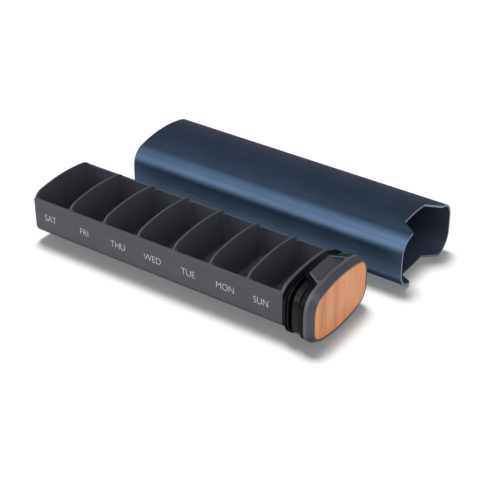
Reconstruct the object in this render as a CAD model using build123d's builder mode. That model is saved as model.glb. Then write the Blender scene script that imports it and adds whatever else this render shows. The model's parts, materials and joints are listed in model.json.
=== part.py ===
"""Weekly pill organizer: a tray of day cells with a sealing end cap, and the sleeve that it slides into."""

from build123d import *
import math
import os

# Crowned outline that the sleeve and the end cap share, and the flat land that they rest on
body_width = 51.6
body_height = 33.4
corner_radius = 10.0
crown_radius = 74.0
side_radius = 102.0
underside_land = 0.4

# Layout at rest: the sleeve lies beside the tray, drawn off and parallel to it
axis_spacing = 66.4
sleeve_lead = 16.2

# Sleeve
sleeve_wall = 1.1
sleeve_end_round_share = 0.85
end_plate_thickness = 0.8
end_plate_ledge = 0.6
end_plate_clearance = 0.05
sealant_thickness = 0.3
tray_end_gap = 0.1

# Pill tray
cell_count = 7
first_cell_length = 22.2
cell_length = 20.8
last_cell_length = 18.4
tray_side_gap = 2.25
tray_floor_gap = 4.8
arch_gap = 1.4
arch_rise = 4.6
arch_crown = 2.6
arch_radius = 6.6
tray_wall = 1.4
tray_floor = 1.4
tray_end_wall = 1.5
divider_thickness = 1.2
tray_bottom_round = 4.0
tray_end_round_share = 0.8
wall_top_round_share = 0.4
divider_round_share = 0.3
cell_corner = 2.4
cell_floor_round_share = 0.85

# Plug between the tray and the end cap
spigot_inset = 6.6
spigot_wall = 1.4
spigot_clearance = 0.1
collar_inset = 1.6
collar_nose_in = 1.2
collar_nose_run = 1.4
collar_step = 1.0
seal_seat_inset = 4.3
seal_clearance = 0.1

# Lip seal
lip_squeeze = 0.1
lip_height = 0.7
lip_base = 0.8
lip_crest_width = 0.35
lip_count = 2
lip_pitch = 1.65
lip_margin = 0.05
seal_nose_height = 0.7
seal_nose_run = 2.5

# Face gasket
gasket_width = 2.3
gasket_inset = 0.25
gasket_flare = 1.8

# End cap and its finger tabs
cap_band = 1.8
cap_taper_run = 3.2
cap_taper_in = 1.75
tab_inner_half = 9.0
tab_base_half = 13.9
tab_length = 7.6
tab_thickness = 3.2
tab_clearance = 0.1
tab_round = 0.9
notch_round = 1.3
scoop_depth = 2.3
scoop_lip = 0.25
scoop_border = 2.0
scoop_round = 1.5
scoop_rim = 0.4
cap_edge_round = 0.4

# Wooden inlay and its adhesive film
inlay_inset = 2.4
inlay_gap = 0.15
inlay_thickness = 2.0
inlay_edge_ease = 0.3
film_thickness = 0.25
film_margin = 0.8

# Cap screws
screw_spacing = 24.0
screw_radius = 1.1
screw_length = 8.0
screw_head_radius = 2.0
screw_head_height = 1.3
screw_slot_width = 0.6
screw_slot_depth = 0.6
screw_hole_clearance = 0.1
screw_grip_clearance = 0.05
boss_wall = 1.5

# Every cut runs past the faces that it opens by this much
cut_overrun = 2.0

# Edges are picked out within this much of the place where they lie
pick_margin = 0.01

# Lengths that follow from the sizes above
seal_length = seal_nose_run + (lip_count - 1) * lip_pitch + lip_base + lip_margin
seal_seat_length = seal_length + seal_clearance
plug_length = seal_seat_length + collar_step + tab_length
cell_pitch = cell_length + divider_thickness
middle_length = divider_thickness + (cell_count - 2) * cell_pitch
tray_length = 2 * tray_end_wall + first_cell_length + middle_length + last_cell_length
tray_width = body_width - 2 * (sleeve_wall + tray_side_gap)
arch_height = body_height - 2 * sleeve_wall - tray_floor_gap - arch_gap
wall_height = arch_height - arch_rise
tray_reach = tray_length + plug_length
cap_length = cap_band + cap_taper_run
sleeve_length = tray_reach - gasket_width + tray_end_gap + end_plate_thickness
overall_length = sleeve_lead + sleeve_length

# Places along the length, with the origin under the middle of the layout
tray_end_x = -overall_length / 2
bulkhead_x = tray_end_x + tray_length
cap_back_x = bulkhead_x + plug_length
rim_x = cap_back_x + cap_band
cap_front_x = cap_back_x + cap_length
sleeve_far_x = tray_end_x + sleeve_lead
sleeve_mouth_x = sleeve_far_x + sleeve_length

# Places across and up
tray_axis_y = -axis_spacing / 2
sleeve_axis_y = axis_spacing / 2
middle_z = body_height / 2 - underside_land
tray_lift = middle_z - body_height / 2 + sleeve_wall + tray_floor_gap
cell_floor_z = tray_lift + tray_floor
wall_top_z = tray_lift + wall_height
arch_side_z = tray_lift + arch_height - arch_crown
screw_places = [(-screw_spacing / 2, middle_z), (screw_spacing / 2, middle_z)]

# Slope of the flanks of the tabs and of the sleeve's notches
flank_angle = math.atan2(tab_base_half - tab_inner_half, tab_length)

# Arcs of the outline, seen from its middle: a corner arc touches a crown arc and a side arc from inside
half_turn = 180
crown_center = body_height / 2 - crown_radius
side_center = body_width / 2 - side_radius
center_span = math.hypot(side_center, crown_center)
crown_reach = crown_radius - corner_radius
side_reach = side_radius - corner_radius
reach_along = (crown_reach**2 - side_reach**2 + center_span**2) / (2 * center_span)
reach_across = math.sqrt(crown_reach**2 - reach_along**2)
corner_y = (side_center * reach_along - crown_center * reach_across) / center_span
corner_z = crown_center - (crown_center * reach_along + side_center * reach_across) / center_span
side_angle = math.degrees(math.atan2(corner_z, corner_y - side_center))
crown_angle = math.degrees(math.atan2(corner_z - crown_center, corner_y))
corner_angle = crown_angle - side_angle

# Plane through the middle of the height, from which pieces and cuts run up and down
middle_plane = Plane.XY.offset(middle_z)


def tray_section(x):
    """Plane across the tray's axis, with Y to its right and Z up."""
    return Plane(origin=(x, tray_axis_y, 0), x_dir=Axis.Y.direction, z_dir=Axis.X.direction)


def sleeve_section(x):
    """Plane across the sleeve's axis, with Y to its right and Z up."""
    return Plane(origin=(x, sleeve_axis_y, 0), x_dir=Axis.Y.direction, z_dir=Axis.X.direction)


def body_outline(inset, mode=Mode.ADD):
    """Draw the shared crowned outline, drawn in by an inset."""
    corner = corner_radius - inset
    with BuildLine() as outline:
        for way, turn in ((1, 0), (-1, half_turn)):
            corner_height = middle_z + way * corner_z
            CenterArc((way * side_center, middle_z), side_radius - inset, turn - side_angle, 2 * side_angle)
            CenterArc((way * corner_y, corner_height), corner, turn + side_angle, corner_angle)
            CenterArc(
                (0, middle_z + way * crown_center),
                crown_radius - inset,
                turn + crown_angle,
                half_turn - 2 * crown_angle,
            )
            CenterArc((-way * corner_y, corner_height), corner, turn + half_turn - crown_angle, corner_angle)
    make_face(outline.edges(), mode=mode)


def flank_growth(margin):
    """Sideways shift of a flank's ends when the whole tab outline grows by a margin."""
    return margin * math.tan((math.pi / 2 - flank_angle) / 2)


def tab_outline(back_x, axis_y, margin):
    """Corners of a tab in plan, grown by a margin, from its narrow edge to the cap's back."""
    inner = tab_inner_half + flank_growth(margin)
    base = tab_base_half + flank_growth(margin)
    narrow_x = back_x - tab_length
    return [
        (back_x, axis_y - base),
        (narrow_x, axis_y - inner),
        (narrow_x, axis_y + inner),
        (back_x, axis_y + base),
    ]


def notched_edge(edge_x, axis_y, margin):
    """Corners of the plan area beyond an end edge that steps back round a tab."""
    side = body_width / 2 + cut_overrun
    far_x = edge_x + tab_length
    corners = [(edge_x, axis_y - side), *tab_outline(edge_x, axis_y, margin), (edge_x, axis_y + side)]
    return corners + [(far_x, axis_y + side), (far_x, axis_y - side)]


def profile_plane(path):
    """Plane square to the start of a closed path, with X along the tray and Y outward."""
    return Plane(origin=path @ 0, x_dir=Axis.X.direction, z_dir=path % 0)


# Space below the flat land of the sleeve, the cap and the gasket
with BuildPart() as below_land:
    with BuildSketch(Plane.XY):
        Rectangle(overall_length + cut_overrun, axis_spacing + body_width + cut_overrun)
    extrude(amount=-body_height)

# Sleeve: a crowned tube with a notched mouth, a ledge for its end plate and a flat land below
with BuildPart() as sleeve_shell:
    with BuildSketch(sleeve_section(sleeve_far_x)):
        body_outline(0)
        body_outline(sleeve_wall, mode=Mode.SUBTRACT)
    extrude(amount=sleeve_length + cut_overrun)
    with BuildSketch(sleeve_section(sleeve_far_x)):
        body_outline(sleeve_wall - end_plate_ledge)
    extrude(amount=end_plate_thickness + sealant_thickness, mode=Mode.SUBTRACT)
    with BuildSketch(middle_plane):
        with BuildLine():
            FilletPolyline(
                notched_edge(sleeve_mouth_x, sleeve_axis_y, gasket_width),
                radius=notch_round,
                close=True,
            )
        make_face()
    extrude(amount=body_height, both=True, mode=Mode.SUBTRACT)
    far_face = sleeve_shell.faces().sort_by(Axis.X)[0]
    fillet(far_face.outer_wire().edges(), (sleeve_wall - end_plate_ledge) * sleeve_end_round_share)
    add(below_land.part, mode=Mode.SUBTRACT)

# Plate that closes the sleeve's far end, seated on the ledge
with BuildPart() as sleeve_end_plate:
    with BuildSketch(sleeve_section(sleeve_far_x)):
        body_outline(sleeve_wall - end_plate_ledge + end_plate_clearance)
    extrude(amount=end_plate_thickness)

# Sealant ring between that plate and the ledge
with BuildPart() as end_plate_sealant:
    with BuildSketch(sleeve_section(sleeve_far_x + end_plate_thickness)):
        body_outline(sleeve_wall - end_plate_ledge + end_plate_clearance)
        body_outline(sleeve_wall, mode=Mode.SUBTRACT)
    extrude(amount=sealant_thickness)

# Cross walls of the tray from the free end to the bulkhead, each as its start and its thickness
first_divider_x = tray_end_x + tray_end_wall + first_cell_length
cross_walls = [(tray_end_x, tray_end_wall)]
cross_walls += [(first_divider_x + day * cell_pitch, divider_thickness) for day in range(cell_count - 1)]
cross_walls += [(bulkhead_x - tray_end_wall, tray_end_wall)]

# Pill tray: a trough with arched cross walls, rounded cells and a spigot for the plug
with BuildPart() as pill_tray:
    with BuildSketch(tray_section(tray_end_x)) as trough:
        with Locations((0, tray_lift)):
            Rectangle(tray_width, wall_height, align=(Align.CENTER, Align.MIN))
        fillet(trough.vertices().group_by(Axis.Y)[0], tray_bottom_round)
    extrude(amount=tray_length)
    for start_x, thickness in cross_walls:
        with BuildSketch(tray_section(start_x)) as arch:
            with BuildLine():
                Polyline(
                    (-tray_width / 2, arch_side_z),
                    (-tray_width / 2, tray_lift),
                    (tray_width / 2, tray_lift),
                    (tray_width / 2, arch_side_z),
                )
                ThreePointArc(
                    (-tray_width / 2, arch_side_z),
                    (0, arch_side_z + arch_crown),
                    (tray_width / 2, arch_side_z),
                )
            make_face()
            fillet(arch.vertices().group_by(Axis.Y)[-1], arch_radius)
            fillet(arch.vertices().group_by(Axis.Y)[0], tray_bottom_round)
        extrude(amount=thickness)
    for (before_x, before), (after_x, after) in zip(cross_walls, cross_walls[1:]):
        cell_start = before_x + before
        clear_length = after_x - cell_start
        with BuildSketch(Plane.XY.offset(cell_floor_z)):
            with Locations((cell_start + clear_length / 2, tray_axis_y)):
                RectangleRounded(clear_length, tray_width - 2 * tray_wall, cell_corner)
        extrude(amount=arch_height, mode=Mode.SUBTRACT)
    cell_floors = pill_tray.faces().filter_by(Plane.XY).group_by(Axis.Z)[1]
    fillet(cell_floors.edges(), cell_corner * cell_floor_round_share)
    wall_edges = pill_tray.edges().filter_by(Axis.X)
    wall_edges = wall_edges.filter_by_position(Axis.Z, wall_top_z - pick_margin, wall_top_z + pick_margin)
    outer_wall_edges = wall_edges.group_by(Axis.Y)[0] + wall_edges.group_by(Axis.Y)[-1]
    fillet(outer_wall_edges, tray_wall * wall_top_round_share)
    end_face = pill_tray.faces().sort_by(Axis.X)[0]
    fillet(end_face.outer_wire().edges(), tray_end_wall * tray_end_round_share)
    crown_edges = pill_tray.edges().filter_by(GeomType.CIRCLE).group_by(SortBy.RADIUS)[-1]
    inner_start = tray_end_x + cell_pitch / 2
    inner_end = bulkhead_x - cell_pitch / 2
    divider_edges = crown_edges.filter_by_position(Axis.X, inner_start, inner_end)
    fillet(divider_edges, divider_thickness * divider_round_share)
    with BuildSketch(tray_section(bulkhead_x)):
        body_outline(spigot_inset)
        body_outline(spigot_inset + spigot_wall, mode=Mode.SUBTRACT)
        with Locations(screw_places):
            Circle(screw_radius + screw_grip_clearance + boss_wall)
            Circle(screw_radius + screw_grip_clearance, mode=Mode.SUBTRACT)
    extrude(amount=plug_length)

# Room for the two finger tabs: their plan, with a clearance, down to just below their inner faces
with BuildPart() as tab_room:
    with BuildSketch(middle_plane):
        with BuildLine():
            Polyline(tab_outline(cap_back_x, tray_axis_y, tab_clearance), close=True)
        make_face()
    extrude(amount=body_height, both=True)
    with BuildSketch(tray_section(cap_back_x - tab_length - cut_overrun)):
        body_outline(tab_thickness + tab_clearance)
    extrude(amount=tab_length + 2 * cut_overrun, mode=Mode.SUBTRACT)

# Room for the gasket's frames round the tabs, where they interrupt the lips
with BuildPart() as frame_room:
    with BuildSketch(middle_plane):
        with BuildLine():
            Polyline(
                tab_outline(cap_back_x - gasket_width, tray_axis_y, gasket_width + seal_clearance),
                close=True,
            )
        make_face()
    extrude(amount=body_height, both=True)
    with BuildSketch(tray_section(bulkhead_x)):
        body_outline(collar_inset + seal_clearance)
    extrude(amount=plug_length, mode=Mode.SUBTRACT)

# Plug collar: the black band on the spigot, with a seat for the seal and pockets for the tabs
with BuildPart() as plug_collar:
    with BuildSketch(tray_section(bulkhead_x)):
        body_outline(seal_seat_inset)
    extrude(amount=seal_seat_length)
    with BuildSketch(tray_section(bulkhead_x + seal_seat_length)):
        body_outline(collar_inset + collar_nose_in)
    with BuildSketch(tray_section(bulkhead_x + seal_seat_length + collar_nose_run)):
        body_outline(collar_inset)
    loft()
    with BuildSketch(tray_section(bulkhead_x + seal_seat_length + collar_nose_run)):
        body_outline(collar_inset)
    extrude(amount=plug_length - seal_seat_length - collar_nose_run)
    with BuildSketch(tray_section(bulkhead_x)):
        body_outline(spigot_inset - spigot_clearance)
    extrude(amount=plug_length, mode=Mode.SUBTRACT)
    add(tab_room.part, mode=Mode.SUBTRACT)

# Lip seal: a ribbed ring round the collar's seat, a little wider than the sleeve's bore
with BuildSketch(tray_section(bulkhead_x)) as seal_seat:
    body_outline(seal_seat_inset)
seat_path = seal_seat.sketch.wires()[0]
lip_crest = seal_seat_inset - sleeve_wall + lip_squeeze
lip_root = lip_crest - lip_height
lip_slope_run = (lip_base - lip_crest_width) / 2

with BuildPart() as lip_seal:
    with BuildSketch(profile_plane(seat_path)):
        with BuildLine():
            Polyline(
                (0, 0),
                (seal_length, 0),
                (seal_length, lip_root),
                (seal_nose_run, lip_root),
                (0, seal_nose_height),
                close=True,
            )
        make_face()
        for lip in range(lip_count):
            lip_start = seal_nose_run + lip * lip_pitch
            with BuildLine():
                Polyline(
                    (lip_start, lip_root),
                    (lip_start + lip_slope_run, lip_crest),
                    (lip_start + lip_slope_run + lip_crest_width, lip_crest),
                    (lip_start + lip_base, lip_root),
                    close=True,
                )
            make_face()
    sweep(path=seat_path)
    add(frame_room.part, mode=Mode.SUBTRACT)

# Face gasket: a flared strip along the cap's back that also runs round both tabs
with BuildSketch(tray_section(cap_back_x - gasket_width)) as gasket_seat:
    body_outline(collar_inset)
gasket_path = gasket_seat.sketch.wires()[0]
gasket_rise = collar_inset - gasket_inset

with BuildPart() as face_gasket:
    with BuildSketch(middle_plane):
        with BuildLine():
            FilletPolyline(
                tab_outline(cap_back_x - gasket_width, tray_axis_y, gasket_width),
                radius=[0, notch_round, notch_round, 0],
                close=True,
            )
        make_face()
    extrude(amount=body_height, both=True)
    with BuildSketch(tray_section(cap_back_x - plug_length)):
        body_outline(gasket_inset)
        body_outline(collar_inset, mode=Mode.SUBTRACT)
    extrude(amount=plug_length, mode=Mode.INTERSECT)
    with BuildSketch(profile_plane(gasket_path)):
        with BuildLine():
            Polyline(
                (-gasket_flare, 0),
                (gasket_width, 0),
                (gasket_width, gasket_rise),
                (0, gasket_rise),
                close=True,
            )
        make_face()
    sweep(path=gasket_path)
    add(tab_room.part, mode=Mode.SUBTRACT)
    add(below_land.part, mode=Mode.SUBTRACT)

# Finger tabs: two pieces of the outline's skin, cut to the tab's plan
with BuildPart() as finger_tabs:
    with BuildSketch(middle_plane):
        with BuildLine():
            FilletPolyline(
                tab_outline(cap_back_x, tray_axis_y, 0),
                radius=[0, tab_round, tab_round, 0],
                close=True,
            )
        make_face()
    extrude(amount=body_height, both=True)
    with BuildSketch(tray_section(cap_back_x - tab_length - cut_overrun)):
        body_outline(0)
        body_outline(tab_thickness, mode=Mode.SUBTRACT)
    extrude(amount=tab_length + 2 * cut_overrun, mode=Mode.INTERSECT)
    add(below_land.part, mode=Mode.SUBTRACT)

# Finger scoops: crowned ramps that deepen towards the cap's rim, bordered by the tabs' flanks
scoop_wall_x = cap_back_x + scoop_rim
scoop_corners = tab_outline(cap_back_x, tray_axis_y, -scoop_border)
with BuildPart() as finger_scoops:
    with BuildSketch(middle_plane):
        with BuildLine():
            FilletPolyline(
                (scoop_wall_x, scoop_corners[0][1]),
                scoop_corners[1],
                (cap_back_x - tab_length - cut_overrun, scoop_corners[1][1]),
                (cap_back_x - tab_length - cut_overrun, scoop_corners[2][1]),
                scoop_corners[2],
                (scoop_wall_x, scoop_corners[3][1]),
                radius=[scoop_round, 0, 0, 0, 0, scoop_round],
                close=True,
            )
        make_face()
    extrude(amount=body_height, both=True)
    with BuildSketch(tray_section(cap_back_x - tab_length)):
        body_outline(scoop_lip)
    with BuildSketch(tray_section(scoop_wall_x)):
        body_outline(scoop_depth)
    loft(mode=Mode.SUBTRACT)

# End cap: a tapered rim with finger tabs on top and below, and a recess for the inlay
with BuildPart() as end_cap:
    with BuildSketch(tray_section(cap_back_x)):
        body_outline(0)
    extrude(amount=cap_band)
    with BuildSketch(tray_section(rim_x)):
        body_outline(0)
    with BuildSketch(tray_section(cap_front_x)):
        body_outline(cap_taper_in)
    loft()
    add(below_land.part, mode=Mode.SUBTRACT)
    rim_edges = end_cap.edges().filter_by_position(Axis.X, rim_x - pick_margin, rim_x + pick_margin)
    fillet(rim_edges, cap_edge_round)
    add(finger_tabs.part)
    add(finger_scoops.part, mode=Mode.SUBTRACT)
    with BuildSketch(tray_section(cap_front_x)):
        body_outline(inlay_inset)
    extrude(amount=-(inlay_thickness + film_thickness), mode=Mode.SUBTRACT)
    with Locations(tray_section(cap_front_x - inlay_thickness - film_thickness)):
        with Locations(screw_places):
            CounterBoreHole(
                radius=screw_radius + screw_hole_clearance,
                counter_bore_radius=screw_head_radius + screw_hole_clearance,
                counter_bore_depth=screw_head_height,
            )

# Wooden inlay, flush with the cap's end face
with BuildPart() as wood_inlay:
    with BuildSketch(tray_section(cap_front_x - inlay_thickness)):
        body_outline(inlay_inset + inlay_gap)
    extrude(amount=inlay_thickness)
    front_face = wood_inlay.faces().sort_by(Axis.X)[-1]
    chamfer(front_face.outer_wire().edges(), inlay_edge_ease)

# Adhesive film behind the inlay
with BuildPart() as inlay_film:
    with BuildSketch(tray_section(cap_front_x - inlay_thickness - film_thickness)):
        body_outline(inlay_inset + film_margin)
    extrude(amount=film_thickness)

# Cap screws, with slotted heads under the film
with BuildPart() as cap_screws:
    head_x = cap_front_x - inlay_thickness - film_thickness - screw_head_height
    with BuildSketch(tray_section(head_x)):
        with Locations(screw_places):
            Circle(screw_head_radius)
    extrude(amount=screw_head_height)
    with BuildSketch(tray_section(head_x)):
        with Locations(screw_places):
            Circle(screw_radius)
    extrude(amount=-screw_length)
    with BuildSketch(tray_section(head_x + screw_head_height)):
        with Locations(screw_places):
            Rectangle(2 * screw_head_radius, screw_slot_width)
    extrude(amount=-screw_slot_depth, mode=Mode.SUBTRACT)

os.makedirs("parts", exist_ok=True)
pieces = {
    "sleeve_shell": sleeve_shell,
    "sleeve_end_plate": sleeve_end_plate,
    "end_plate_sealant": end_plate_sealant,
    "pill_tray": pill_tray,
    "plug_collar": plug_collar,
    "lip_seal": lip_seal,
    "face_gasket": face_gasket,
    "end_cap": end_cap,
    "wood_inlay": wood_inlay,
    "inlay_film": inlay_film,
    "cap_screws": cap_screws,
}
for label, piece in pieces.items():
    piece.part.label = label
    export_step(piece.part, f"parts/{label}.step")
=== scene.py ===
"""Dresses the weekly pill organizer: its finishes, its day lettering, its studio and its camera."""

import json
import logging
import math
from dataclasses import dataclass
from enum import Enum
from typing import Any, Union

import bpy
from mathutils import Euler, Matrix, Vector


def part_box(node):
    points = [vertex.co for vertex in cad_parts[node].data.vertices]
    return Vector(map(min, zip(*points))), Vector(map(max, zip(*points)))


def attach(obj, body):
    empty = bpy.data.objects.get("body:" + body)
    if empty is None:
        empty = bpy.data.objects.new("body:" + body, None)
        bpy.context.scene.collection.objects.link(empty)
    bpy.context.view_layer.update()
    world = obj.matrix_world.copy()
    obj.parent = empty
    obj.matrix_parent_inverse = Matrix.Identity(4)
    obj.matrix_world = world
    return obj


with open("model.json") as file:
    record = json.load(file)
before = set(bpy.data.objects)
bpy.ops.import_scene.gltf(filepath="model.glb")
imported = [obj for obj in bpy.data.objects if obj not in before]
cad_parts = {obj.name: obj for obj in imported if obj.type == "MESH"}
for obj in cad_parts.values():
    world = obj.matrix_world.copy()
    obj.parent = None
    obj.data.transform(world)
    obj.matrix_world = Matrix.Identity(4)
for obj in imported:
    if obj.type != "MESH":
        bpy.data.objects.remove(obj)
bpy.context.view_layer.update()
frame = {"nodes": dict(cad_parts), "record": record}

log = logging.getLogger("pill_organizer")
MM = 0.001

Colour = tuple[float, float, float, float]
Axes = tuple[float, float, float]
Span = tuple[float, float]
Number = Union["Shade", float]
Setting = Union["Shade", float, tuple]

BLACK: Colour = (0, 0, 0, 1)
WHITE: Colour = (1, 1, 1, 1)

# Rays that see the floor's own glow
SEEING_RAYS = ("Is Camera Ray", "Is Glossy Ray", "Is Transmission Ray")

# Turn of a normal that counts as a full edge, as 1 less its cosine
EDGE_TURN = 0.12
BEVEL_SAMPLES = 6


class Shade:
    """One output of a node, with operators that add Math nodes."""

    def __init__(self, graph: "NodeGraph", node: bpy.types.Node, output: str | int) -> None:
        """Hold the node, the name or index of its output, and the graph that it belongs to."""
        self.graph = graph
        self.node = node
        self.output = output

    @property
    def socket(self) -> bpy.types.NodeSocket:
        """The output's own socket."""
        return self.node.outputs[self.output]

    def __add__(self, other: Number) -> "Shade":
        """Add a value."""
        return self.graph.math("ADD", self, other)

    def __radd__(self, other: Number) -> "Shade":
        """Add to a value."""
        return self.graph.math("ADD", other, self)

    def __sub__(self, other: Number) -> "Shade":
        """Take a value away."""
        return self.graph.math("SUBTRACT", self, other)

    def __rsub__(self, other: Number) -> "Shade":
        """Take away from a value."""
        return self.graph.math("SUBTRACT", other, self)

    def __mul__(self, other: Number) -> "Shade":
        """Multiply by a value."""
        return self.graph.math("MULTIPLY", self, other)

    def __rmul__(self, other: Number) -> "Shade":
        """Multiply a value."""
        return self.graph.math("MULTIPLY", other, self)

    def blend(self, other: "Shade", share: float) -> "Shade":
        """Blend with another value, by the other's share."""
        return (1 - share) * self + share * other

    def between(self, low: float, high: float) -> "Shade":
        """Rise smoothly from 0 at the low value to 1 at the high one.

        Args:
            low: Value that gives 0.
            high: Value that gives 1.

        Returns:
            The smoothed value.
        """
        settings = {"interpolation_type": "SMOOTHSTEP"}
        sockets = {"Value": self, "From Min": low, "From Max": high}
        return self.graph.node("ShaderNodeMapRange", settings, sockets)


class NodeGraph:
    """The node tree of a material or of the sky."""

    def __init__(self, owner: bpy.types.Material | bpy.types.World) -> None:
        """Start with the owner's tree, emptied."""
        owner.use_nodes = True
        self.tree = owner.node_tree
        self.tree.nodes.clear()

    def node(
        self,
        kind: str,
        settings: dict[str, Any] | None = None,
        sockets: dict[str | int, Setting] | None = None,
        output: str | int = 0,
    ) -> Shade:
        """Add one node, set it up and link it.

        Args:
            kind: Node type.
            settings: Properties of the node, set first; "stops" fills a colour ramp.
            sockets: Values or links of its inputs, by name or by index.
            output: The output that is handed back.

        Returns:
            The chosen output.
        """
        node = self.tree.nodes.new(kind)
        for name, value in (settings or {}).items():
            if name == "stops":
                self.fill_ramp(node.color_ramp, value)
            else:
                setattr(node, name, value)
        for name, value in (sockets or {}).items():
            if isinstance(value, Shade):
                self.tree.links.new(value.socket, node.inputs[name])
            else:
                node.inputs[name].default_value = value
        return Shade(self, node, output)

    @staticmethod
    def fill_ramp(ramp: bpy.types.ColorRamp, stops: list[tuple[float, Colour]]) -> None:
        """Give a colour ramp its stops.

        Args:
            ramp: The ramp of a new node, which holds two stops.
            stops: Place and colour of each stop, in order.
        """
        while len(ramp.elements) < len(stops):
            ramp.elements.new(1.0)
        for element, (place, colour) in zip(ramp.elements, stops):
            element.position = place
            element.color = colour

    def math(self, operation: str, first: Number, second: Number) -> Shade:
        """Add one Math node on two values."""
        return self.node("ShaderNodeMath", {"operation": operation}, {0: first, 1: second})

    def mix(self, share: Number, first: Setting, second: Setting) -> Shade:
        """Mix two colours by a share of the second."""
        return self.node("ShaderNodeMix", {"data_type": "RGBA"}, {0: share, 6: first, 7: second}, 2)


def tinted(colour: Colour, share: float) -> Colour:
    """Make a colour darker or lighter by a share."""
    return (colour[0] * share, colour[1] * share, colour[2] * share, 1.0)


class FinishGraph(NodeGraph):
    """The node tree of one procedural finish."""

    def __init__(self, name: str) -> None:
        """Start an empty material with that name."""
        self.material = bpy.data.materials.new(name)
        super().__init__(self.material)

    def vector_math(
        self, operation: str, first: Setting, second: Setting, output: str | int = 0
    ) -> Shade:
        """Add one Vector Math node on two vectors."""
        sockets = {0: first, 1: second}
        return self.node("ShaderNodeVectorMath", {"operation": operation}, sockets, output)

    def place(self, stretch: Axes) -> Shade:
        """Place on the piece in metres, multiplied along each axis."""
        here = self.node("ShaderNodeTexCoord", output="Object")
        return self.vector_math("MULTIPLY", here, stretch)

    def noise(self, size: float, stretch: Axes = (1, 1, 1), detail: float = 2) -> Shade:
        """Noise whose features have a real size.

        Args:
            size: Size of one feature, in metres.
            stretch: How much faster the noise changes along each axis.
            detail: Octaves of finer noise.

        Returns:
            A value about 0.5.
        """
        sockets = {"Vector": self.place(stretch), "Scale": 1 / size, "Detail": detail}
        return self.node("ShaderNodeTexNoise", None, sockets)

    def facing(self, axis: str) -> Shade:
        """How far the surface faces along an axis of the piece, from -1 to 1."""
        normal = self.node("ShaderNodeTexCoord", output="Normal")
        return self.node("ShaderNodeSeparateXYZ", None, {0: normal}, axis)

    def facing_out(self, middle: Vector) -> Shade:
        """How far the surface faces away from the axis along X through a point, in metres.

        Args:
            middle: A point of the axis.

        Returns:
            A value that is negative on the inside of a tube, and 0 on its ends.
        """
        here = self.node("ShaderNodeTexCoord", output="Object")
        away = self.vector_math("SUBTRACT", here, middle)
        across = self.vector_math("MULTIPLY", away, (0, 1, 1))
        normal = self.node("ShaderNodeTexCoord", output="Normal")
        return self.vector_math("DOT_PRODUCT", normal, across, "Value")

    def soft_normal(self, radius: float) -> Shade:
        """Surface normal with the piece's sharp edges rounded by a radius."""
        return self.node("ShaderNodeBevel", {"samples": BEVEL_SAMPLES}, {"Radius": radius})

    def edge_mask(self, rounded: Shade) -> Shade:
        """Mask of the piece's edges.

        Args:
            rounded: Normal with rounded edges.

        Returns:
            1 on an edge and 0 on a face.
        """
        flat = self.node("ShaderNodeNewGeometry", output="Normal")
        likeness = self.vector_math("DOT_PRODUCT", rounded, flat, "Value")
        return (1 - likeness).between(0, EDGE_TURN)

    def bump(self, height: Shade, depth: float, normal: Shade) -> Shade:
        """Normal of a relief of some depth, in metres, on another normal."""
        sockets = {"Height": height, "Distance": depth, "Normal": normal}
        return self.node("ShaderNodeBump", None, sockets)

    def mottle(self, tone: Shade, colour: Colour, shares: Span) -> Shade:
        """Vary a colour from a darker to a lighter share of itself, by a tone from 0 to 1."""
        darker, lighter = shares
        return self.mix(tone, tinted(colour, darker), tinted(colour, lighter))

    @staticmethod
    def spread(middle: float, width: float, noise: Shade) -> Shade:
        """Spread a value about its middle, by noise about 0.5."""
        return middle - width / 2 + width * noise

    def surface(self, sockets: dict[str | int, Setting]) -> bpy.types.Material:
        """Close the finish with one Principled surface.

        Args:
            sockets: Values or links of the surface's inputs.

        Returns:
            The finished material.
        """
        shader = self.node("ShaderNodeBsdfPrincipled", None, sockets)
        self.node("ShaderNodeOutputMaterial", None, {"Surface": shader})
        return self.material


@dataclass(frozen=True)
class AnodisedMetal:
    """Satin anodised aluminium, bead-blasted: faint draw lines, a bright cut end, and a bore drawn
    as a duller diffuse copy that stands in for light inside the sleeve: painted light.
    """

    name: str
    colour: Colour
    cut_colour: Colour
    glance_colour: Colour
    # Painted light: a duller diffuse copy of the colour that lifts the inside of the sleeve
    bore_painted_light_colour: Colour
    bore_shine: float = 0.2
    bore_depth: Span = (-4 * MM, -1 * MM)
    cut_turn: Span = (0.35, 0.55)
    shares: Span = (0.9, 1.1)
    contrast: Span = (0.35, 0.65)
    cloud_size: float = 18 * MM
    line_size: float = 1.1 * MM
    line_stretch: Axes = (0.02, 1, 1)
    line_share: float = 0.5
    blast_size: float = 0.16 * MM
    blast_depth: float = 0.004 * MM
    roughness: float = 0.42
    roughness_spread: float = 0.08
    edge_round: float = 0.2 * MM

    def material(self, middle: Vector) -> bpy.types.Material:
        """Make the material of this finish.

        Args:
            middle: A point of the axis along X that the bore goes round.

        Returns:
            The material.
        """
        graph = FinishGraph(self.name)
        cloud = graph.noise(self.cloud_size)
        draw_lines = graph.noise(self.line_size, self.line_stretch)
        blast = graph.noise(self.blast_size)
        tone = cloud.blend(draw_lines, self.line_share).between(*self.contrast)
        metal = graph.mottle(tone, self.colour, self.shares)
        rounded = graph.soft_normal(self.edge_round)
        cut = graph.facing("X").between(*self.cut_turn)
        # The bore turns into its duller diffuse copy here: painted light inside the sleeve
        shiny = graph.facing_out(middle).between(*self.bore_depth)
        skin = graph.mix(shiny, self.bore_painted_light_colour, metal)
        relief = blast + self.line_share * draw_lines
        return graph.surface({
            "Base Color": graph.mix(cut, skin, self.cut_colour),
            "Metallic": self.bore_shine + (1 - self.bore_shine) * shiny,
            "Specular Tint": self.glance_colour,
            "Roughness": graph.spread(self.roughness, self.roughness_spread, blast),
            "Normal": graph.bump(relief, self.blast_depth, rounded),
        })


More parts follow.
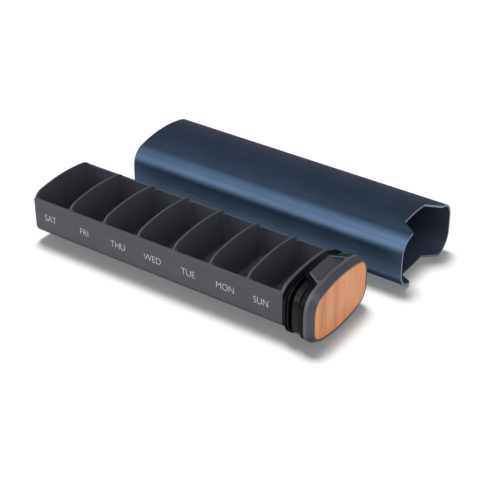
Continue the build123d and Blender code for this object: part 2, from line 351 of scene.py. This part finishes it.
@dataclass(frozen=True)
class MouldedPlastic:
    """Moulded plastic with a spark-eroded grain, faint flow marks, and a painted highlight along its
    edges, which are also a little glossier.

    Where a slope shade colour is given, the faces that slope towards the capped end
    are drawn darker with it: painted shade.
    """

    name: str
    colour: Colour
    roughness: float
    specular: float = 0.5
    # Painted highlight: how much lighter than the colour the edges are drawn
    edge_highlight_share: float = 1.7
    # Painted shade: a darker colour for the faces that slope towards the capped end
    slope_shade_colour: Colour | None = None
    slope_shade_start: Span = (0.1, 0.2)
    slope_shade_end: Span = (0.7, 0.9)
    shares: Span = (0.9, 1.1)
    contrast: Span = (0.3, 0.7)
    flow_size: float = 9 * MM
    flow_stretch: Axes = (0.5, 1, 1)
    grain_size: float = 0.22 * MM
    grain_depth: float = 0.02 * MM
    grain_share: float = 0.4
    roughness_spread: float = 0.12
    edge_gloss: float = 0.08
    edge_round: float = 0.3 * MM

    def material(self) -> bpy.types.Material:
        """Make the material of this finish."""
        graph = FinishGraph(self.name)
        flow = graph.noise(self.flow_size, self.flow_stretch)
        grain = graph.noise(self.grain_size)
        rounded = graph.soft_normal(self.edge_round)
        edge = graph.edge_mask(rounded)
        tone = flow.blend(grain, self.grain_share).between(*self.contrast)
        plastic = graph.mottle(tone, self.colour, self.shares)
        # Painted shade on the faces that slope towards the capped end, such as the taper and the
        # scoop
        if self.slope_shade_colour:
            along = graph.facing("X")
            slope_shade = along.between(*self.slope_shade_start) * (1 - along.between(*self.slope_shade_end))
            plastic = graph.mix(slope_shade, plastic, self.slope_shade_colour)
        face_roughness = graph.spread(self.roughness, self.roughness_spread, grain)
        return graph.surface({
            # Painted highlight: the edges are drawn lighter by the edge share
            "Base Color": graph.mix(edge, plastic, tinted(self.colour, self.edge_highlight_share)),
            "Roughness": face_roughness - self.edge_gloss * edge,
            "Specular IOR Level": self.specular,
            "Normal": graph.bump(grain, self.grain_depth, rounded),
        })


@dataclass(frozen=True)
class SealRubber:
    """Black silicone rubber: satin, with a trace of mould texture."""

    name: str
    colour: Colour
    shares: Span = (0.75, 1.25)
    contrast: Span = (0.3, 0.7)
    cloud_size: float = 4 * MM
    grain_size: float = 0.3 * MM
    grain_depth: float = 0.012 * MM
    grain_share: float = 0.3
    roughness: float = 0.32
    roughness_spread: float = 0.1
    specular: float = 0.1
    edge_round: float = 0.15 * MM

    def material(self) -> bpy.types.Material:
        """Make the material of this finish."""
        graph = FinishGraph(self.name)
        cloud = graph.noise(self.cloud_size)
        grain = graph.noise(self.grain_size)
        tone = cloud.blend(grain, self.grain_share).between(*self.contrast)
        rounded = graph.soft_normal(self.edge_round)
        return graph.surface({
            "Base Color": graph.mottle(tone, self.colour, self.shares),
            "Roughness": graph.spread(self.roughness, self.roughness_spread, cloud),
            "Specular IOR Level": self.specular,
            "Normal": graph.bump(grain, self.grain_depth, rounded),
        })


@dataclass(frozen=True)
class OiledWood:
    """Oiled hardwood, its grain upright: broad bands, growth lines, fine streaks and short pores."""

    name: str
    pale: Colour
    middle: Colour
    dark: Colour
    stops: tuple[float, float, float] = (0.25, 0.46, 0.66)
    band_size: float = 9 * MM
    band_stretch: Axes = (1, 1, 0.07)
    lines_per_band: float = 4.0
    line_span: Span = (0.76, 1.0)
    line_share: float = 0.42
    streak_size: float = 0.7 * MM
    streak_stretch: Axes = (1, 1, 0.04)
    streak_share: float = 0.38
    pore_size: float = 0.3 * MM
    pore_stretch: Axes = (1, 1, 0.07)
    pore_span: Span = (0.62, 0.74)
    pore_share: float = 0.4
    pore_sink: float = 0.8
    relief_depth: float = 0.03 * MM
    roughness: float = 0.53
    roughness_spread: float = 0.14
    specular: float = 0.3
    edge_round: float = 0.2 * MM

    def material(self) -> bpy.types.Material:
        """Make the material of this finish."""
        graph = FinishGraph(self.name)
        bands = graph.noise(self.band_size, self.band_stretch, detail=1)
        # The wave goes up to 1 and back to 0 over and over as the bands change
        wave = 2 * graph.math("PINGPONG", self.lines_per_band * bands, 0.5)
        lines = wave.between(*self.line_span)
        streaks = graph.noise(self.streak_size, self.streak_stretch, detail=3)
        pores = graph.noise(self.pore_size, self.pore_stretch, detail=1).between(*self.pore_span)
        stops = list(zip(self.stops, (self.dark, self.middle, self.pale)))
        figure = bands.blend(streaks, self.streak_share)
        wood = graph.node("ShaderNodeValToRGB", {"stops": stops}, {"Fac": figure})
        darkening = self.pore_share * pores + self.line_share * lines
        rounded = graph.soft_normal(self.edge_round)
        return graph.surface({
            "Base Color": graph.mix(darkening, wood, self.dark),
            "Roughness": graph.spread(self.roughness, self.roughness_spread, streaks),
            "Specular IOR Level": self.specular,
            "Normal": graph.bump(streaks - self.pore_sink * pores, self.relief_depth, rounded),
        })


@dataclass(frozen=True)
class PrintedInk:
    """Pale pad-printed ink, a little uneven where it took to the moulded grain."""

    name: str
    colour: Colour
    shares: Span = (0.86, 1.0)
    contrast: Span = (0.3, 0.6)
    speckle_size: float = 0.25 * MM
    roughness: float = 0.55
    roughness_spread: float = 0.1

    def material(self) -> bpy.types.Material:
        """Make the material of this finish."""
        graph = FinishGraph(self.name)
        speckle = graph.noise(self.speckle_size)
        tone = speckle.between(*self.contrast)
        return graph.surface({
            "Base Color": graph.mottle(tone, self.colour, self.shares),
            "Roughness": graph.spread(self.roughness, self.roughness_spread, speckle),
        })


@dataclass(frozen=True)
class ScrewSteel:
    """Turned steel with fine tool marks."""

    name: str
    colour: Colour
    shares: Span = (0.85, 1.1)
    mark_size: float = 0.12 * MM
    mark_stretch: Axes = (1, 0.1, 1)
    roughness: float = 0.3
    roughness_spread: float = 0.16

    def material(self) -> bpy.types.Material:
        """Make the material of this finish."""
        graph = FinishGraph(self.name)
        marks = graph.noise(self.mark_size, self.mark_stretch)
        return graph.surface({
            "Base Color": graph.mottle(marks, self.colour, self.shares),
            "Metallic": 1.0,
            "Roughness": graph.spread(self.roughness, self.roughness_spread, marks),
        })


@dataclass(frozen=True)
class GlueLayer:
    """Cured glue or adhesive film, slightly cloudy."""

    name: str
    colour: Colour
    shares: Span = (0.85, 1.1)
    cloud_size: float = 1.5 * MM
    roughness: float = 0.45
    roughness_spread: float = 0.2

    def material(self) -> bpy.types.Material:
        """Make the material of this finish."""
        graph = FinishGraph(self.name)
        cloud = graph.noise(self.cloud_size)
        return graph.surface({
            "Base Color": graph.mottle(cloud, self.colour, self.shares),
            "Roughness": graph.spread(self.roughness, self.roughness_spread, cloud),
        })


def dress(node: str, material: bpy.types.Material) -> None:
    """Give a node of the frame its finish.

    Args:
        node: Name of the node.
        material: The finish, put in every material slot of the node.
    """
    piece = frame["nodes"][node]
    for slot in piece.material_slots:
        slot.material = material
    log.info("%s dressed in %s", node, material.name)


class Day(Enum):
    """Day abbreviations, in the order of the cells from the tray's free end."""

    SATURDAY = "SAT"
    FRIDAY = "FRI"
    THURSDAY = "THU"
    WEDNESDAY = "WED"
    TUESDAY = "TUE"
    MONDAY = "MON"
    SUNDAY = "SUN"


@dataclass
class Sleeve:
    """The slide-on sleeve with the plate that closes its far end."""

    shell_finish: AnodisedMetal = AnodisedMetal(
        "sleeve_anodised",
        colour=(0.062, 0.1, 0.16, 1),
        cut_colour=(0.19, 0.24, 0.31, 1),
        glance_colour=(0.66, 0.56, 0.6, 1),
        # Painted light inside the bore
        bore_painted_light_colour=(0.04, 0.052, 0.083, 1),
    )
    sealant_finish: GlueLayer = GlueLayer("plate_sealant", (0.03, 0.032, 0.036, 1))

    def build(self) -> None:
        """Dress the shell, its end plate and the sealant between them."""
        low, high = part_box("sleeve_shell")
        metal = self.shell_finish.material((low + high) / 2)
        dress("sleeve_shell", metal)
        dress("sleeve_end_plate", metal)
        dress("end_plate_sealant", self.sealant_finish.material())


@dataclass
class PillTray:
    """The moulded tray of day cells, with a printed day on the front of each."""

    # The tray's edges get the default painted highlight
    plastic: MouldedPlastic = MouldedPlastic(
        "tray_plastic", (0.05, 0.055, 0.067, 1), roughness=0.5, specular=0.35
    )
    ink: PrintedInk = PrintedInk("day_ink", (0.5, 0.52, 0.55, 1))
    letter_height: float = 3.6 * MM
    letter_spread: float = 0.95
    letter_width_share: float = 0.87
    letter_thinning: float = 0.09 * MM
    ink_thickness: float = 0.02 * MM
    print_height: float = 16.5 * MM
    print_shift: float = -1.5 * MM

    def build(self) -> None:
        """Dress the tray and print the days on its front wall."""
        dress("pill_tray", self.plastic.material())
        ink = self.ink.material()
        openings = {opening["name"]: opening for opening in frame["record"]["physics"]["openings"]}
        for number, day in enumerate(Day, start=1):
            (low_x, _, _), (high_x, _, _) = openings[f"day_cell_{number}"]["box_m"]
            self.print_day(day, (low_x + high_x) / 2 + self.print_shift, ink)

    def print_day(self, day: Day, middle_x: float, ink: bpy.types.Material) -> None:
        """Print one day's abbreviation on the front wall.

        Args:
            day: The day.
            middle_x: Middle of the word along the tray, in metres.
            ink: The print's material.
        """
        letters = bpy.data.curves.new(f"day_print_{day.name.lower()}", "FONT")
        letters.body = day.value
        letters.align_x = "CENTER"
        letters.space_character = self.letter_spread
        letters.size = self.letter_height
        letters.offset = -self.letter_thinning
        letters.extrude = self.ink_thickness
        letters.materials.append(ink)
        piece = bpy.data.objects.new(letters.name, letters)
        bpy.context.scene.collection.objects.link(piece)
        bpy.context.view_layer.update()
        letters.size *= self.letter_height / piece.dimensions.y
        front_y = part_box("pill_tray")[0].y
        piece.location = (middle_x, front_y, self.print_height - self.letter_height / 2)
        piece.rotation_euler = Euler((math.pi / 2, 0, 0))
        piece.scale.x = self.letter_width_share
        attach(piece, "tray")
        log.info("%s printed", piece.name)


@dataclass
class Plug:
    """The sealing plug: the collar, its lip seal and the gasket behind the cap."""

    collar_finish: MouldedPlastic = MouldedPlastic(
        "collar_plastic",
        (0.002, 0.002, 0.0025, 1),
        roughness=0.26,
        specular=0.18,
        # Painted highlight along the collar's edges
        edge_highlight_share=2.0,
    )
    seal_finish: SealRubber = SealRubber("seal_rubber", (0.0015, 0.0015, 0.0019, 1))

    def build(self) -> None:
        """Dress the collar, the lip seal and the gasket."""
        rubber = self.seal_finish.material()
        dress("plug_collar", self.collar_finish.material())
        dress("lip_seal", rubber)
        dress("face_gasket", rubber)


@dataclass
class EndCap:
    """The end cap with its wooden inlay, and what holds them."""

    plastic: MouldedPlastic = MouldedPlastic(
        "cap_plastic",
        (0.067, 0.069, 0.077, 1),
        roughness=0.42,
        # Painted highlight along the cap's edges
        edge_highlight_share=1.35,
        # Painted shade on the cap's taper and scoop
        slope_shade_colour=(0.036, 0.04, 0.052, 1),
    )
    wood: OiledWood = OiledWood(
        "inlay_wood",
        pale=(0.74, 0.345, 0.16, 1),
        middle=(0.67, 0.295, 0.128, 1),
        dark=(0.45, 0.172, 0.063, 1),
    )
    film_finish: GlueLayer = GlueLayer("inlay_film", (0.62, 0.58, 0.5, 1))
    steel: ScrewSteel = ScrewSteel("screw_steel", (0.56, 0.57, 0.58, 1))

    def build(self) -> None:
        """Dress the cap, the inlay, its film and the screws."""
        dress("end_cap", self.plastic.material())
        dress("wood_inlay", self.wood.material())
        dress("inlay_film", self.film_finish.material())
        dress("cap_screws", self.steel.material())


@dataclass(frozen=True)
class Softbox:
    """One rectangular softbox that faces a target.

    Its direction goes from the target to the lamp, its distance, width and height are in metres,
    and a radiance of 1 makes its face white.
    """

    name: str
    direction: Axes
    distance: float
    width: float
    height: float
    radiance: float

    def build(self, target: Vector) -> bpy.types.Object:
        """Hang the softbox.

        Args:
            target: The point that it faces.

        Returns:
            The lamp.
        """
        lamp = bpy.data.lights.new(self.name, "AREA")
        lamp.shape = "RECTANGLE"
        lamp.size = self.width
        lamp.size_y = self.height
        lamp.energy = self.radiance * math.pi * self.width * self.height
        holder = bpy.data.objects.new(self.name, lamp)
        bpy.context.scene.collection.objects.link(holder)
        towards = Vector(self.direction).normalized()
        holder.location = target + towards * self.distance
        holder.rotation_euler = towards.to_track_quat("Z", "Y").to_euler()
        log.info("%s hung", self.name)
        return holder


@dataclass
class Studio:
    """A grey floor that is lit to white, a pale sweep with a dimmer ceiling, and softboxes.

    The floor lamp lights the floor alone, where it draws the object's shadow, and the softboxes
    light the object alone, at a plain level. The sweep's top and the ceiling's start are heights
    in the sky, where 0 is the horizon and 1 is straight up.
    """

    floor_half: float = 4.0
    floor_colour: Colour = (0.35, 0.35, 0.35, 1)
    floor_glow: Colour = (0.17, 0.17, 0.17, 1)
    sweep_light: float = 0.5
    ceiling_light: float = 0.3
    sweep_top: float = 0.1
    ceiling_start: float = 0.5
    target: Axes = (0.0, 0.0, 0.015)
    floor_lamp: Softbox = Softbox("floor_lamp", (-0.2, 0.17, 0.965), 4.0, 1.3, 1.1, 88.0)
    softboxes: tuple[Softbox, ...] = (
        Softbox("front_strip", (-0.3, -0.79, 0.4425), 1.91, 1.9, 0.9, 2.8),
        Softbox("upper_sheet", (-0.474, -0.15, 0.867), 2.0, 1.8, 1.6, 1.0),
        Softbox("overhead", (0.1, -0.4, 0.9), 1.0, 0.9, 0.6, 2.6),
        Softbox("right_fill", (0.95, -0.05, 0.3), 1.6, 0.8, 0.7, 1.4),
        Softbox("cell_light", (0.72, -0.05, 0.69), 1.2, 0.7, 0.7, 2.0),
    )

    def build(self) -> None:
        """Lay the floor, light the sky and hang the lamps."""
        floor = self.lay_floor()
        self.light_sky()
        target = Vector(self.target)
        self.light_only(self.floor_lamp.build(target), floor, "INCLUDE")
        for softbox in self.softboxes:
            self.light_only(softbox.build(target), floor, "EXCLUDE")

    @staticmethod
    def light_only(lamp: bpy.types.Object, floor: bpy.types.Object, choice: str) -> None:
        """Let a lamp light the floor alone, or all but the floor.

        Args:
            lamp: The lamp.
            floor: The floor.
            choice: INCLUDE for the floor alone, or EXCLUDE for all but the floor.
        """
        lit = bpy.data.collections.new(f"{lamp.name}_lights")
        lit.objects.link(floor)
        lit.collection_objects[0].light_linking.link_state = choice
        lamp.light_linking.receiver_collection = lit

    def lay_floor(self) -> bpy.types.Object:
        """Lay the floor.

        Returns:
            The floor.
        """
        half = self.floor_half
        mesh = bpy.data.meshes.new("studio_floor")
        corners = [(-half, -half, 0), (half, -half, 0), (half, half, 0), (-half, half, 0)]
        mesh.from_pydata(corners, [], [(0, 1, 2, 3)])
        graph = FinishGraph("studio_floor")
        camera, glossy, through = [
            graph.node("ShaderNodeLightPath", output=name) for name in SEEING_RAYS
        ]
        seen = (camera + glossy + through).between(0, 1)
        mesh.materials.append(graph.surface({
            "Base Color": self.floor_colour,
            "Roughness": 1.0,
            "Specular IOR Level": 0.0,
            "Emission Color": graph.mix(seen, BLACK, self.floor_glow),
            "Emission Strength": 1.0,
        }))
        floor = bpy.data.objects.new("studio_floor", mesh)
        bpy.context.scene.collection.objects.link(floor)
        return floor

    def light_sky(self) -> None:
        """Light the sky, paler at the horizon than overhead."""
        sky = bpy.data.worlds.new("studio_sky")
        graph = NodeGraph(sky)
        towards = graph.node("ShaderNodeTexCoord", output="Generated")
        height = graph.node("ShaderNodeSeparateXYZ", None, {0: towards}, "Z")
        overhead = height.between(self.sweep_top, self.ceiling_start)
        strength = self.sweep_light - (self.sweep_light - self.ceiling_light) * overhead
        light = graph.node("ShaderNodeBackground", None, {"Color": WHITE, "Strength": strength})
        graph.node("ShaderNodeOutputWorld", None, {"Surface": light})
        bpy.context.scene.world = sky


@dataclass
class ProductCamera:
    """The camera, with its angles in degrees and its lens and sensor in millimetres."""

    azimuth: float = 34.361
    elevation: float = 32.853
    aim: Axes = (20.532 * MM, -20.183 * MM, 15.609 * MM)
    distance: float = 691.094 * MM
    focal_length: float = 99.069
    sensor: float = 36.0

    def build(self) -> None:
        """Place the camera and make it the scene's own."""
        lens = bpy.data.cameras.new("product_camera")
        lens.lens = self.focal_length
        lens.sensor_width = self.sensor
        camera = bpy.data.objects.new("product_camera", lens)
        turn = Euler((math.radians(90 - self.elevation), 0, math.radians(self.azimuth)))
        camera.rotation_euler = turn
        back = turn.to_matrix() @ Vector((0, 0, 1))
        camera.location = Vector(self.aim) + back * self.distance
        bpy.context.scene.collection.objects.link(camera)
        bpy.context.scene.camera = camera


def main() -> None:
    """Build the camera, the studio and the pieces in order."""
    logging.basicConfig(level=logging.INFO, format="%(name)s: %(message)s")
    bpy.context.scene.view_settings.view_transform = "Standard"
    for assembly in (ProductCamera(), Studio(), Sleeve(), PillTray(), Plug(), EndCap()):
        assembly.build()
        log.info("%s done", type(assembly).__name__)


if __name__ == "__main__":
    main()
